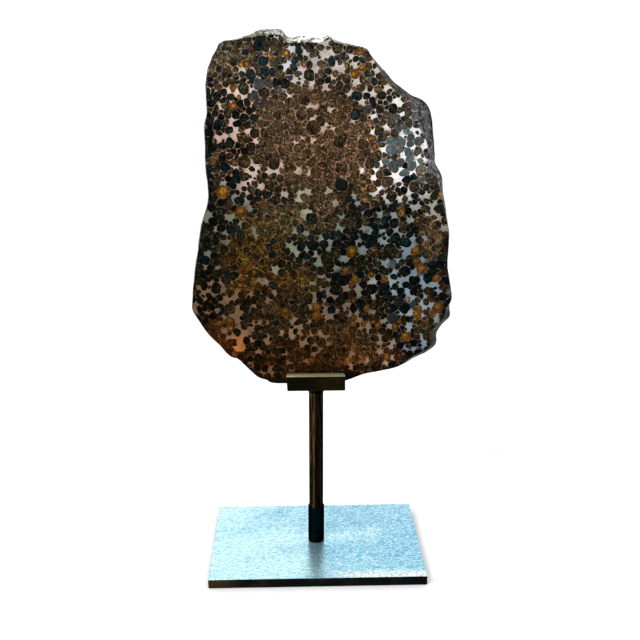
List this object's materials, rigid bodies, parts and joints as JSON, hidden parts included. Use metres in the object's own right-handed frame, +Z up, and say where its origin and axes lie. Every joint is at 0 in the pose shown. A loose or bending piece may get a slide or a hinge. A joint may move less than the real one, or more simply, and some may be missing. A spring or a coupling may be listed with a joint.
{
  "type": "pallasite meteorite slice on a display stand",
  "caption": "Polished slab of stony-iron meteorite with a natural rim, standing in a slotted bracket on a post and flat base plate.",
  "frame": {"origin": "middle of the base plate's underside, on the post's axis", "axes": "+Z up along the post, +X to the right along the slice's face, -Y out of the slice's polished front face"},
  "size_m": [0.1793, 0.1016, 0.3694],
  "materials": {
    "pallasite": "polished",
    "dark_bronze": "satin",
    "blackened_tube": "satin",
    "plate_steel": "satin"
  },
  "bodies": {
    "root": {"meteorite_slice": "pallasite", "bracket": "dark_bronze", "post": "dark_bronze", "socket": "blackened_tube", "base_plate": "plate_steel"}
  },
  "joints": []
}
